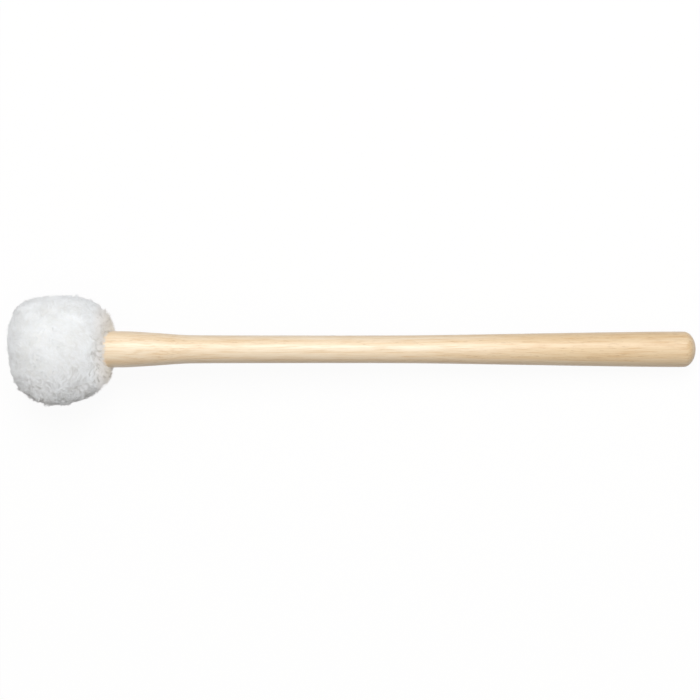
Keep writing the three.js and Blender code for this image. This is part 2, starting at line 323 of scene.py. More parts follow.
def turn(name, outline, steps=96):
    """A solid of revolution about X from outline points of place along X and radius."""
    obj = draw_line(name, [(along, 0, radius) for along, radius in outline])
    bpy.ops.mesh.spin(steps=steps, angle=2 * math.pi, center=(0, 0, 0), axis=(1, 0, 0))
    bpy.ops.mesh.select_all(action="SELECT")
    bpy.ops.mesh.remove_doubles(threshold=doubled)
    bpy.ops.mesh.normals_make_consistent(inside=False)
    bpy.ops.object.mode_set(mode="OBJECT")
    bpy.ops.object.shade_smooth_by_angle(angle=crease_angle)
    return obj


def lay_down(obj, stands_for):
    """Put a piece made along X where the mallet lies, and hide the solid that it stands for."""
    obj.data.transform(laid_down)
    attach(obj, "root")
    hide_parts(stands_for)
    print(f"{obj.name}: {len(obj.data.polygons)} faces")


def smooth_line(points, steps):
    """A centripetal Catmull-Rom line through points, with steps to each stretch."""
    knots = [Vector(point) for point in points]
    knots = [2 * knots[0] - knots[1], *knots, 2 * knots[-1] - knots[-2]]
    line = []
    for p0, p1, p2, p3 in zip(knots, knots[1:], knots[2:], knots[3:]):
        t1 = (p1 - p0).length ** 0.5
        t2 = t1 + (p2 - p1).length ** 0.5
        t3 = t2 + (p3 - p2).length ** 0.5
        for step in range(steps):
            t = t1 + (t2 - t1) * step / steps
            a1 = p0.lerp(p1, t / t1)
            a2 = p1.lerp(p2, (t - t1) / (t2 - t1))
            a3 = p2.lerp(p3, (t - t2) / (t3 - t2))
            b1 = a1.lerp(a2, t / t2)
            b2 = a2.lerp(a3, (t - t1) / (t3 - t1))
            line.append(b1.lerp(b2, (t - t1) / (t2 - t1)))
    return [*line, knots[-2]]


def rounded(centre, sizes, from_degrees, to_degrees, steps=8):
    """Part of an ellipse about a centre, as outline points."""
    turns = [math.radians(from_degrees + (to_degrees - from_degrees) * step / steps) for step in range(steps + 1)]
    return [(centre[0] + sizes[0] * math.cos(a), centre[1] + sizes[1] * math.sin(a)) for a in turns]


# %% [markdown]
# ## The stick
# The shaft is hickory, turned in one piece. It is thickest where it carries the head, tapers
# fast to a long slim stretch, and swells slowly to a butt with a rounded edge. Inside the head
# a bored tenon holds the screw. The same stations as in the solid are joined here by a finer
# line, so the silhouette has no facets.

# %% Shaft
fit_gap = 0.3 * MM
head_end = 19.05 * MM / 2
slim = 14.8 * MM / 2
waist = 14.5 * MM / 2
grip = 18.6 * MM / 2
flare_start, flare_length = 28 * MM, 42 * MM
waist_place = 157 * MM
grip_length = 5 * MM
butt_round = 6 * MM
butt_flat = 2.5 * MM
shoulder_place = 9.3 * MM
tenon, tenon_end, tenon_chamfer = 6.35 * MM, -9.2 * MM, 1 * MM
pilot, pilot_end = 2.4 * MM, 10.9 * MM
flare_shares = [(0, 1), (0.17, 0.96), (0.37, 0.75), (0.57, 0.49), (0.77, 0.2), (0.9, 0.05), (1, 0)]
swell_shares = [(0, 0), (0.19, 0.06), (0.32, 0.2), (0.45, 0.38), (0.57, 0.54), (0.7, 0.71), (0.83, 0.87),
                (0.93, 0.97), (1, 1)]

butt_start = shaft_reach - butt_round
swell_length = butt_start - grip_length - waist_place
stations = [
    (shoulder_place, head_end),
    *[(flare_start + flare_length * along, slim + (head_end - slim) * left) for along, left in flare_shares],
    *[(waist_place + swell_length * along, waist + (grip - waist) * reached) for along, reached in swell_shares],
    (butt_start, grip),
]
flat_angle = math.asin(butt_flat / grip)
butt_size = (butt_round / math.cos(flat_angle), grip)
shaft_line = smooth_line([(along, radius, 0) for along, radius in stations], 6)
shaft = turn("shaft_turned", [
    (pilot_end, 0), (pilot_end, pilot), (tenon_end, pilot),
    (tenon_end, tenon - tenon_chamfer), (tenon_end + tenon_chamfer, tenon), (shoulder_place, tenon),
    *[(point.x, point.y) for point in shaft_line],
    *rounded((butt_start, 0), butt_size, 90, math.degrees(flat_angle), 14)[1:],
    (shaft_reach, 0),
])
lay_down(shaft, "shaft")

# %% [markdown]
# ## Hickory under satin lacquer
# Hickory is a ring-porous wood: pale cream to tan, with fine lines along the stick and short
# brown dashes where the turning cut its pores open. The filled wood has a broad dull shine, and
# the satin lacquer over it adds a narrower highlight. The lines are noise stretched along the
# axis. The pores are shorter and thinner, and show only in some of the rings. Towards the butt
# the wood is warmer and darker.

# %% Hickory material
def hickory_lacquered():
    """Hickory with its rings, lines and open pores, under satin lacquer."""
    wood = new_material("hickory_satin_lacquer")
    place = own_axes(wood)
    rings = add_grain(wood, place, (170 * MM, 4.2 * MM, 2.6 * MM), detail=1.0, distortion=0.3)
    lines = add_grain(wood, place, (16 * MM, 0.62 * MM, 0.52 * MM), detail=3.0, roughness=0.6)
    ring_tone = add_ramp(wood, rings, [(0.34, "#F4DDBA"), (0.5, "#F9E5C7"), (0.68, "#FBECD3")])
    line_tone = add_ramp(wood, lines, [(0.3, "#EBDDCA"), (0.5, "#FCFAF7"), (0.62, "#FFFFFF")])
    colour = add_mix(wood, 1.0, ring_tone, line_tone, "MULTIPLY")
    pores = add_grain(wood, place, (4.5 * MM, 0.36 * MM, 0.36 * MM), detail=1.0)
    open_pores = add_ramp(wood, pores, [(0.62, 0.0), (0.72, 1.0)])
    early_rings = add_ramp(wood, rings, [(0.38, 1.0), (0.58, 0.25)])
    pore_share = add_math(wood, "MULTIPLY", add_math(wood, "MULTIPLY", open_pores, early_rings), 0.5)
    colour = add_mix(wood, pore_share, colour, linear("#B08A58"))
    along = add_node(wood, "ShaderNodeSeparateXYZ", {"Vector": place}).outputs["X"]
    towards_butt = add_node(wood, "ShaderNodeMapRange", {
        "Value": along, "From Min": 170 * MM, "From Max": 310 * MM, "To Max": 1.0,
    }, interpolation_type="SMOOTHSTEP").outputs["Result"]
    warmer = add_mix(wood, 1.0, colour, linear("#F3EDE1"), "MULTIPLY")
    colour = add_mix(wood, towards_butt, colour, warmer)
    gloss = add_ramp(wood, lines, [(0.3, 0.54), (0.7, 0.46)])
    streaks = add_bump(wood, lines, 0.4, 0.1 * MM)
    dents = add_bump(wood, open_pores, 0.25, 0.05 * MM, {"Normal": streaks}, invert=True)
    return show_surface(wood, {
        "Base Color": colour, "Roughness": gloss, "IOR": 1.5, "Specular IOR Level": 0.8,
        "Coat Weight": 0.5, "Coat Roughness": 0.34, "Normal": dents,
    })


put_on(shaft, hickory_lacquered())

# %% [markdown]
# ## What the head is built on
# A hardwood bush sits on the tenon, and a washer and a pan-head screw clamp it there. These
# three keep the solids that the frame brings, because their shapes are exact. They only get
# their finish: bare turned maple, with its faint lines round the lathe's axis, and bright zinc
# plate, which is a little cloudy and not a mirror.

# %% Maple and zinc
def maple_bare():
    """Bare maple with faint lines, small flecks and the marks of the lathe."""
    wood = new_material("maple_turned_bare")
    place = own_axes(wood)
    lines = add_grain(wood, place, (14 * MM, 0.9 * MM, 0.9 * MM), detail=3.0)
    flecks = add_grain(wood, place, (1.6 * MM, 0.35 * MM, 0.2 * MM), detail=1.0)
    colour = add_ramp(wood, lines, [(0.3, "#D3B07F"), (0.7, "#E3C79C")])
    fleck_share = add_ramp(wood, flecks, [(0.62, 0.0), (0.75, 0.35)])
    colour = add_mix(wood, fleck_share, colour, linear("#BD9563"))
    tool_marks = add_grain(wood, place, (0.35 * MM, 60 * MM, 60 * MM), detail=0.0)
    relief = add_bump(wood, tool_marks, 0.2, 0.05 * MM)
    return show_surface(wood, {
        "Base Color": colour, "Roughness": 0.6, "IOR": 1.5, "Normal": relief,
    })


def zinc_bright():
    """Steel under bright zinc plate, a little cloudy."""
    metal = new_material("steel_bright_zinc_plate")
    place = own_axes(metal)
    clouds = add_grain(metal, place, (2.5 * MM,) * 3, detail=4.0)
    colour = add_ramp(metal, clouds, [(0.3, "#B9BEC4"), (0.7, "#D2D6DA")])
    haze = add_ramp(metal, clouds, [(0.3, 0.34), (0.7, 0.24)])
    return show_surface(metal, {
        "Base Color": colour, "Metallic": 1.0, "Roughness": haze,
    })


zinc = zinc_bright()
put_on(nodes["core_bush"], maple_bare())
put_on(nodes["head_washer"], zinc)
put_on(nodes["head_screw"], zinc)

# %% [markdown]
# ## The felt
# Hard pressed felt takes the blow: a strip wound twice round the bush, a disc in front of it
# and a ring behind it. The strip is drawn as the spiral line of its middle, pulled out to its
# width and given its thickness by Solidify. Its two ends are shaved thin, so that the roll is
# round: every point is kept between the bush and the outside of the roll. A narrow bevel
# takes the sharpness off its cut edges.

# %% Felt strip
felt_thickness = 3 * MM
felt_turns = 2
feather = 0.6 * MM
felt_inside = 12.3 * MM
felt_pitch = felt_thickness + fit_gap
felt_outside = felt_inside + felt_turns * felt_pitch - fit_gap
bush_front, bush_length = -10 * MM, 19 * MM
steps_a_turn = 72
width_steps = 6
felt_bevel = 0.25 * MM
felt_crease = math.radians(50)

first_turn = feather / felt_pitch
last_turn = felt_turns + (felt_thickness - fit_gap - feather) / felt_pitch
strip_steps = round((last_turn - first_turn) * steps_a_turn)
middle_line = []
for step in range(strip_steps + 1):
    wound = first_turn + (last_turn - first_turn) * step / strip_steps
    radius = felt_inside + felt_pitch * wound - felt_thickness / 2
    turned = 2 * math.pi * wound
    middle_line.append((bush_front, radius * math.sin(turned), -radius * math.cos(turned)))
felt_strip = draw_line("felt_strip", middle_line)
for step in range(width_steps):
    bpy.ops.mesh.extrude_edges_move(TRANSFORM_OT_translate={"value": (bush_length / width_steps, 0, 0)})
bpy.ops.object.mode_set(mode="OBJECT")
wall = felt_strip.modifiers.new("thickness", "SOLIDIFY")
wall.thickness = felt_thickness
wall.offset = 0
bpy.ops.object.modifier_apply(modifier=wall.name)
for vertex in felt_strip.data.vertices:
    radius = math.hypot(vertex.co.y, vertex.co.z)
    kept = min(max(radius, felt_inside), felt_outside) / radius
    vertex.co.y *= kept
    vertex.co.z *= kept
edge = felt_strip.modifiers.new("soft_edges", "BEVEL")
edge.width = felt_bevel
edge.segments = 2
edge.angle_limit = felt_crease
bpy.ops.object.modifier_apply(modifier=edge.name)
start_edit(felt_strip)
bpy.ops.mesh.normals_make_consistent(inside=False)
bpy.ops.object.mode_set(mode="OBJECT")
bpy.ops.object.shade_smooth_by_angle(angle=felt_crease)
lay_down(felt_strip, "felt_wrap")

# %% Felt disc and ring
felt_edge = 2.5 * MM
pad_front, pad_rear = -17.3 * MM, -10.3 * MM
screw_front, screw_seat = -15.1 * MM, -12.1 * MM
washer_recess, screw_recess = 8.8 * MM, 4.3 * MM
ring_rear = 12.8 * MM
on_shaft = head_end + fit_gap

front_disc = turn("felt_front_disc", [
    (pad_front, 0),
    *rounded((pad_front + felt_edge, felt_outside - felt_edge), (felt_edge, felt_edge), 180, 90),
    (pad_rear, felt_outside), (pad_rear, washer_recess), (screw_seat, washer_recess),
    (screw_seat, screw_recess), (screw_front - fit_gap, screw_recess), (screw_front - fit_gap, 0),
], 72)
rear_ring = turn("felt_rear_ring", [
    (shoulder_place, on_shaft), (shoulder_place, felt_outside),
    *rounded((ring_rear - felt_edge, felt_outside - felt_edge), (felt_edge, felt_edge), 90, 0),
    (ring_rear, on_shaft), (shoulder_place, on_shaft),
], 72)
lay_down(front_disc, "front_felt_pad")
lay_down(rear_ring, "rear_felt_ring")

# %% Wool felt material
def wool_felt():
    """Matt pressed wool: short fibres in every direction, and a cloudy off-white."""
    felt = new_material("pressed_wool_felt")
    place = own_axes(felt)
    clouds = add_grain(felt, place, (5 * MM,) * 3, detail=2.0)
    fibres = add_grain(felt, place, (0.5 * MM,) * 3, detail=4.0, roughness=0.7, distortion=1.5)
    colour = add_ramp(felt, clouds, [(0.3, "#D0CBBF"), (0.7, "#E1DDD3")])
    fibre_tone = add_ramp(felt, fibres, [(0.3, 0.86), (0.7, 1.0)])
    colour = add_mix(felt, 1.0, colour, fibre_tone, "MULTIPLY")
    relief = add_bump(felt, fibres, 0.6, 0.2 * MM)
    return show_surface(felt, {
        "Base Color": colour, "Roughness": 0.95, "IOR": 1.5, "Specular IOR Level": 0.2,
        "Sheen Weight": 0.2, "Normal": relief,
    })


felt = wool_felt()
for piece in (felt_strip, front_disc, rear_ring):
    put_on(piece, felt)

# %% [markdown]
# ## The cover's knitted back
# The cover is a knitted bag, pulled over the felt from the front and drawn in round the shaft.
# Its cloth is a turned form of one thickness. Where it is drawn in, the cloth has to go
# somewhere, so it gathers in pleats: the outside of the rear wall and of the neck is pressed
# in between them. The flat size is that of a tube of cloth: once round the felt, by half the
# front, the side, and the rear down to the end of the neck.

# %% Knitted bag
backing_inside = felt_outside + fit_gap
backing_thickness = 1 * MM
backing_front, backing_rear = -17.6 * MM, 13.1 * MM
neck_start, neck_end = backing_rear + backing_thickness, 21.6 * MM
neck_outside = on_shaft + backing_thickness
pleat_count = 18
pleat_depth = 0.35 * MM
pleat_fade = 4 * MM  # over which the pleats die out on the rear wall
near_wall = 0.01 * MM  # a point this close to a wall is on it


def bag_outline(grown, steps=8):
    """The outline of a bag round the felt, grown by a thickness, from its front pole."""
    edge = felt_edge + fit_gap + grown
    reach = backing_inside + grown - edge
    front, rear = backing_front - grown, backing_rear + grown
    return [
        (front, 0),
        *rounded((front + edge, reach), (edge, edge), 180, 90, steps),
        *rounded((rear - edge, reach), (edge, edge), 90, 0, steps),
    ]


rear_wall = [(neck_start, neck_outside + (bag_outline(backing_thickness)[-1][1] - neck_outside) * share)
             for share in (0.75, 0.5, 0.25)]
neck_wall = [(neck_start + (neck_end - neck_start) * share, neck_outside) for share in (0, 0.2, 0.4, 0.6, 0.8, 1)]
bag = turn("knitted_bag", [
    *bag_outline(backing_thickness), *rear_wall, *neck_wall,
    (neck_end, on_shaft), (backing_rear, on_shaft), *bag_outline(0)[::-1],
], pleat_count * 8)
for vertex in bag.data.vertices:
    along, radius = vertex.co.x, math.hypot(vertex.co.y, vertex.co.z)
    between = (1 + math.cos(pleat_count * math.atan2(vertex.co.z, vertex.co.y))) / 2
    if along > neck_start - near_wall and radius > neck_outside - near_wall:
        if along < neck_start + near_wall:
            vertex.co.x -= pleat_depth * between * min(1, (backing_inside - radius) / pleat_fade)
        else:
            pressed = 1 - pleat_depth * between / radius
            vertex.co.y *= pressed
            vertex.co.z *= pressed
lay_down(bag, "cover_backing")

# %% Knit material
stitch_columns = 100.0  # round the bag
stitch_row = 1.0 * MM


def knit_polyester():
    """Fine plain knit: columns of stitches along the bag, about 1.2 mm apart."""
    knit = new_material("knitted_polyester")
    place = own_axes(knit)
    parts = add_node(knit, "ShaderNodeSeparateXYZ", {"Vector": place})
    turned = add_math(knit, "ARCTAN2", parts.outputs["Z"], parts.outputs["Y"])
    columns = add_math(knit, "SINE", add_math(knit, "MULTIPLY", turned, stitch_columns))
    rows = add_math(knit, "SINE", add_math(knit, "MULTIPLY", parts.outputs["X"], 2 * math.pi / stitch_row))
    stitch = add_math(knit, "MULTIPLY_ADD", add_math(knit, "MULTIPLY", columns, rows), 0.5, 0.5)
    colour = add_ramp(knit, stitch, [(0.1, "#D9D7CF"), (0.7, "#E9E7E1")])
    relief = add_bump(knit, stitch, 0.6, 0.2 * MM)
    return show_surface(knit, {
        "Base Color": colour, "Roughness": 0.9, "IOR": 1.5, "Specular IOR Level": 0.3,
        "Normal": relief,
    })


put_on(bag, knit_polyester())

# %% [markdown]
# ## The thread that ties the neck
# Four turns of waxed cotton thread hold the neck on the shaft. Thread is three plies twisted
# together, and at this size the twist is its whole look, so each ply is a line of its own that
# winds about the thread's path. A curve with a round bevel makes each ply a closed tube, and
# the thread runs straight for one diameter at either end.

# %% Gather thread
thread_size = 1 * MM
thread_pitch = 1.45 * MM
thread_turns = 4
thread_start = neck_start + fit_gap + thread_size / 2
thread_radius = neck_outside + fit_gap + thread_size / 2
ply_radius = 0.26 * MM
ply_twist = 3.2 * MM  # the length of one twist of the three plies
ply_steps = 9  # to one twist

turn_length = math.hypot(2 * math.pi * thread_radius, thread_pitch)
tied_length = thread_turns * turn_length
ply_curve = bpy.data.curves.new("gather_thread", "CURVE")
ply_curve.dimensions = "3D"
ply_curve.bevel_depth = ply_radius
ply_curve.bevel_resolution = 1
ply_curve.use_fill_caps = True
point_count = round((tied_length + 2 * thread_size) / ply_twist * ply_steps)
for ply in range(3):
    line = ply_curve.splines.new("POLY")
    line.points.add(point_count - 1)
    for number, point in enumerate(line.points):
        run = -thread_size + (tied_length + 2 * thread_size) * number / (point_count - 1)
        wound = 2 * math.pi * min(max(run / turn_length, 0), thread_turns)
        tail = run - min(max(run, 0), tied_length)
        outward = Vector((0, math.cos(wound), math.sin(wound)))
        heading = Vector((0, -math.sin(wound), math.cos(wound)))
        twist = 2 * math.pi * (run / ply_twist + ply / 3)
        across = outward * math.cos(twist) + Vector((1, 0, 0)) * math.sin(twist)
        path = outward * thread_radius + Vector((thread_start + thread_pitch * wound / (2 * math.pi), 0, 0))
        point.co = (*(path + heading * tail + across * (thread_size / 2 - ply_radius)), 1)
thread = bpy.data.objects.new("gather_thread_plies", ply_curve)
bpy.context.scene.collection.objects.link(thread)
select_alone(thread)
bpy.ops.object.convert(target="MESH")
thread = bpy.context.object
bpy.ops.object.shade_smooth()
lay_down(thread, "gather_thread")
print(f"thread {tied_length / MM:.0f} mm in {thread_turns} turns")

# %% Waxed cotton material
def waxed_cotton():
    """Cotton yarn under a film of wax: nearly white, a little uneven, with a dull shine."""
    cotton = new_material("waxed_cotton_thread")
    place = own_axes(cotton)
    slubs = add_grain(cotton, place, (0.8 * MM,) * 3, detail=3.0)
    colour = add_ramp(cotton, slubs, [(0.3, "#E2DED0"), (0.7, "#F1EEE4")])
    relief = add_bump(cotton, slubs, 0.4, 0.05 * MM)
    return show_surface(cotton, {
        "Base Color": colour, "Roughness": 0.55, "IOR": 1.45, "Normal": relief,
    })


put_on(thread, waxed_cotton())

# %% [markdown]
# ## The body of the fleece
# Long pile stands on the knitted bag. Seen from outside the head is a rounded box more than a
# ball, flatter on one side and fuller on the other, with the pile parted where the stick comes
# out. The body is made first, a little under the tips, as one closed form: a sphere whose
# rings are moved to the right section, in through the opening, and round the hollow for the
# bag. Slow noise gives it lumps, and a few broad swells and dents shape it as the
# photographed head is.

# %% Section of the head
head_front, head_rear = 28.6 * MM, 29.3 * MM
head_radius = 28.95 * MM
head_droop = 0.75 * MM
pile_draw_back = 4.0 * MM
squareness, squareness_step = 2.5, 0.35
thread_hollow = thread_radius + thread_size / 2 + fit_gap


def head_section(angle, sink):
    """Radius, squaring power and rear reach of the head at an angle from +Y towards +Z."""
    radius = head_radius - head_droop * np.cos(angle) - sink
    power = 2 / (squareness + squareness_step * np.cos(angle))
    return radius, power, head_rear - pile_draw_back * (1 - np.cos(angle) ** 6) - sink


def head_surface(sweep, angle, sink):
    """Points of the head's outside at a sweep from the front pole and an angle from +Y."""
    radius, power, rear = head_section(angle, sink)
    along = np.where(sweep < math.pi / 2, sink - head_front, rear) * np.abs(np.cos(sweep)) ** power
    out = radius * np.sin(sweep) ** power
    return np.stack([along, out * np.cos(angle), out * np.sin(angle)], axis=-1)


def last_sweep(angle, sink):
    """The sweep at which the head's outside meets the shaft."""
    radius, power, _ = head_section(angle, sink)
    return math.pi - np.arcsin((on_shaft / radius) ** (1 / power))


# %% Lumps and swells
lump_sizes = [(9 * MM, 0.45 * MM), (4.2 * MM, 0.25 * MM), (2.0 * MM, 0.15 * MM)]  # width, height
swells = [  # place along and across the mallet, height, reach
    (-28 * MM, 2.5 * MM, -1.8 * MM, 6.5 * MM),
    (-28 * MM, -12 * MM, -1.6 * MM, 4 * MM),
    (-27 * MM, 17 * MM, -1.0 * MM, 3.5 * MM),
    (-23 * MM, 24.5 * MM, 1.0 * MM, 3 * MM),
    (21 * MM, 23 * MM, -0.9 * MM, 6 * MM),
    (12 * MM, -27 * MM, -1.1 * MM, 9 * MM),
    (28.5 * MM, -12 * MM, 1.0 * MM, 5 * MM),
]


def lumps(point):
    """How far the pile stands out or in at a point."""
    height = sum(tall * noise.noise(Vector(point) / wide) for wide, tall in lump_sizes)
    for along, across, tall, reach in swells:
        height += tall * math.exp(-((point[0] - along) ** 2 + (point[1] - across) ** 2) / (2 * reach ** 2))
    return height


# %% Grid of the fleece body
pile_sink = 1.5 * MM  # how far the body lies under the tips of the pile
around, outer_rings = 224, 132
shaft_fade = 10  # rings over which the lumps die out before the shaft
foot_height = 1.0 * MM

turns = 2 * math.pi * np.arange(around) / around
rings = np.arange(outer_rings + 1)[:, None]
skin = head_surface(last_sweep(turns, pile_sink) * rings / outer_rings, turns, pile_sink)
outward = skin / np.linalg.norm(skin, axis=2, keepdims=True)
fade = np.clip((outer_rings - rings) / shaft_fade, 0, 1)
raised = np.apply_along_axis(lumps, 2, skin) * fade
skin = skin + outward * raised[..., None]
skin[0] = skin[0].mean(axis=0)

turning, moved = np.array(laid_down.to_3x3()), np.array(head_centre)
skin = skin @ turning.T + moved
skin[..., 2] = np.maximum(skin[..., 2], foot_height)
hollow = [
    (neck_end + fit_gap, on_shaft), (neck_end + fit_gap, thread_hollow), (neck_start + fit_gap, thread_hollow),
    *bag_outline(backing_thickness + fit_gap, 6)[::-1],
]
inside = np.array([[(along, radius * math.cos(a), radius * math.sin(a)) for a in turns] for along, radius in hollow])
body_grid = np.concatenate([skin, inside @ turning.T + moved])

# %% Fleece body
ring_count = len(body_grid) - 1
bpy.ops.object.select_all(action="DESELECT")
bpy.ops.mesh.primitive_uv_sphere_add(segments=around, ring_count=ring_count, radius=1, rotation=(0, -math.pi / 2, 0))
body = bpy.context.object
body.name = body.data.name = "fleece_body"
bpy.ops.object.transform_apply(rotation=True)
for vertex in body.data.vertices:
    ring = round(math.acos(min(max(-vertex.co.x, -1), 1)) / math.pi * ring_count)
    segment = round(math.atan2(vertex.co.z, vertex.co.y) / (2 * math.pi) * around) % around
    vertex.co = body_grid[ring, segment]
bpy.ops.object.shade_smooth()
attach(body, "root")
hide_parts("fleece_pile")
print(f"fleece body: {len(body.data.polygons)} faces")

# %% [markdown]
# ## The strands
# Fleece is fine crimped fibre that bunches into tufts. Each strand here stands for a little
# bunch of fibres: a three-sided tapering curl that starts inside the body, rises, and then
# lies over with its neighbours. Roots are drawn evenly over the body. The way the strands lie
# changes slowly over the head, which gives the faint swirls of combed pile, and a few tufts
# close to a point and stand proud, as along the photographed outline. Strands near the stick
# lie along it, and those underneath are pressed flat. Every random number comes from one
# seeded generator, the swirls have a seed of their own, and the roots come from the grid
# above, so each run draws the same head.

# %% Strand roots
strand_count = 39000
rng = np.random.default_rng(23)


def grid_normals(points):
    """The outward direction at each point of the body's outside."""
    onward = np.roll(points, -1, axis=1) - np.roll(points, 1, axis=1)
    facing = np.cross(onward, np.gradient(points, axis=0))
    facing[0] = (points[0] - points[4]).mean(axis=0)
    return facing / np.linalg.norm(facing, axis=2, keepdims=True)


def between(grid, ring, segment, up, on):
    """Values of a grid at places inside its cells."""
    beside = (segment + 1) % around
    low = grid[ring, segment] * (1 - on) + grid[ring, beside] * on
    high = grid[ring + 1, segment] * (1 - on) + grid[ring + 1, beside] * on
    return low * (1 - up) + high * up


beside = np.roll(skin, -1, axis=1)
cells = np.linalg.norm(np.cross(beside[1:] - skin[:-1], skin[1:] - beside[:-1]), axis=2) / 2
picked = rng.choice(cells.size, strand_count, p=cells.ravel() / cells.sum())
ring, segment = np.divmod(picked, around)
up, on = rng.random((2, strand_count, 1))
roots = between(skin, ring, segment, up, on)
normals = between(grid_normals(skin), ring, segment, up, on)
normals /= np.linalg.norm(normals, axis=1, keepdims=True)
own_roots = (roots - moved) @ turning
print(f"fleece area {cells.sum() / MM ** 2 / 100:.0f} square cm, {strand_count} strands")

# %% Tufts
tuft_spacing = 1.9 * MM
peak_share = 0.03
peak_reach = 2.8 * MM
photographed_peaks = [  # on the outline, on the mallet's own X and Y
    (-9.7 * MM, 29 * MM), (-21.8 * MM, 24.3 * MM), (-26.5 * MM, 14.3 * MM), (-28.6 * MM, 2.3 * MM),
    (-25.5 * MM, -10.9 * MM), (-21.3 * MM, -20.3 * MM), (-12 * MM, -27 * MM), (16.5 * MM, 26 * MM),
]


def spread_out(points, spacing):
    """Numbers of points that keep at least this spacing from one another."""
    cells, kept = {}, []
    for number, point in enumerate(points):
        cell = tuple(np.floor(point / spacing).astype(int))
        near = [other for x in (-1, 0, 1) for y in (-1, 0, 1) for z in (-1, 0, 1)
                for other in cells.get((cell[0] + x, cell[1] + y, cell[2] + z), ())]
        if all(np.linalg.norm(points[other] - point) >= spacing for other in near):
            cells.setdefault(cell, []).append(number)
            kept.append(number)
    return np.array(kept)


tufts = spread_out(roots, tuft_spacing)
tree = KDTree(len(tufts))
for number, root in enumerate(roots[tufts]):
    tree.insert(root, number)
tree.balance()
tuft_of = np.array([tree.find(root)[1] for root in roots])
peaked = rng.random(len(tufts)) < peak_share
for x, y in photographed_peaks:
    for _, number, _ in tree.find_range(laid_down @ Vector((x, y, 0)), peak_reach):
        peaked[number] = True
print(f"{len(tufts)} tufts, {peaked.sum()} of them peaked")

# %% Strand lines
strand_points = 6
strand_sink = 1.5 * MM
rise_least, rise_most = 0.5 * MM, 1.6 * MM
reach_least, reach_most = 1.2 * MM, 4.0 * MM
tuft_rise = 0.45 * MM
peak_rise = 0.9 * MM
curl_size = 0.42 * MM
swirl_size = 11 * MM
swirl_seed = 4
root_width, tip_width = 0.11 * MM, 0.03 * MM  # half the width of a strand
swirl_pull, tuft_stray, strand_stray = 2.2, 0.3, 0.3  # what decides the way that a strand lies
peak_lie = 0.35  # how far a strand of a peak lies over, as a share of the others
curl_least, curl_most = 0.4, 1.0  # shares of the curl's size
winding_least, winding_most = 0.6, 1.6  # turns to a strand
lie_power = 1.7  # above 1, so a strand rises first and lies over towards its tip
tuft_pull, peak_pull = 0.4, 0.8
neck_release = 0.9  # how much of that pull is lost beside the stick
neck_reach = 6 * MM

noise.seed_set(swirl_seed)
swirl = np.array([noise.noise_vector(Vector(root) / swirl_size) for root in own_roots])
lean = (swirl_pull * swirl + tuft_stray * rng.normal(size=(len(tufts), 3))[tuft_of]
        + strand_stray * rng.normal(size=(strand_count, 3)))
near_shaft = np.clip(1 - (np.hypot(own_roots[:, 1], own_roots[:, 2]) - on_shaft) / neck_reach, 0, 1)
near_shaft = (near_shaft * (own_roots[:, 0] > 0))[:, None]
lean = lean / np.linalg.norm(lean, axis=1, keepdims=True) * (1 - near_shaft) + np.array(axis_x) * near_shaft
lean -= normals * (lean * normals).sum(axis=1, keepdims=True)
lean /= np.linalg.norm(lean, axis=1, keepdims=True)
sideways = np.cross(normals, lean)
in_peak = peaked[tuft_of]
rise = rng.uniform(rise_least, rise_most, strand_count)
rise += rng.uniform(-tuft_rise, tuft_rise, len(tufts))[tuft_of] + peak_rise * in_peak
reach = rng.uniform(reach_least, reach_most, strand_count) * np.where(in_peak, peak_lie, 1.0)
curl = rng.uniform(curl_least, curl_most, strand_count) * curl_size
phase = rng.uniform(0, 2 * math.pi, strand_count)
winding = rng.uniform(winding_least, winding_most, strand_count)
pull = np.where(in_peak, peak_pull, tuft_pull)[:, None] * (1 - neck_release * near_shaft)

lines = np.empty((strand_points, strand_count, 3))
for step in range(strand_points):
    share = step / (strand_points - 1)
    height = (strand_sink + rise) * (1 - (1 - share) ** 2) - strand_sink
    swing = phase + 2 * math.pi * winding * share
    start = roots + (roots[tufts][tuft_of] - roots) * pull * share
    lines[step] = (start + normals * (height + curl * np.sin(swing) * share / 2)[:, None]
                   + lean * (reach * share ** lie_power)[:, None]
                   + sideways * (curl * np.cos(swing) * share)[:, None])

# %% Keep the strands off the stick and the floor
clearance = 0.12 * MM + root_width
pressed_least, pressed_most = 0.02, 0.6  # mm between the floor and the pile that lies on it
own = (lines - moved) @ turning
shaft_radius = np.interp(own[..., 0], [station[0] for station in stations], [station[1] for station in stations])
from_axis = np.hypot(own[..., 1], own[..., 2])
sunk = (own[..., 0] > neck_end) & (from_axis < shaft_radius + clearance)
own[..., 1:] *= np.where(sunk, (shaft_radius + clearance) / np.maximum(from_axis, MM), 1.0)[..., None]
lines = own @ turning.T + moved
lines[..., 2] = np.maximum(lines[..., 2], root_width + rng.uniform(pressed_least, pressed_most, strand_count) * MM)
print(f"{sunk.any(axis=0).sum()} strands lie along the stick")

# %% [markdown]
# ## From lines to meshes
# A strand is a stack of triangles with a tip, closed at its root. With so many alike, the
# points and faces are worked out together and handed to six meshes, one for each sixth of the
# way round the head. Real fibres are so fine that light gets in among them. So the strands
# throw no shadow of their own, which the body does for them, and their shading leans half way
# to that of the tuft and the body that they grow on. It leans upwards as well, the more where
# the pile stands up over the stick. Each strand has its own little square on the texture map.

# %% Strand shape
strand_sides = 3
sector_count = 6
softness = 0.5  # how far a strand's shading follows the body under it
tuft_roundness = 0.4  # how far each tuft is shaded as a little mound of its own
wrap = 0.68  # how far light from above reaches round into the pile
stick_lift = 2.6  # the same again for the pile that stands up over the stick
lift_start, lift_length, lift_width = 12 * MM, 10 * MM, 9 * MM
taper_power = 1.5  # above 1, so a strand keeps its width longer
square_margin = 0.05  # on each side of a strand's square on the texture map
off_axis = np.array([0.31, 0.52, 0.79])  # a direction that no strand quite follows


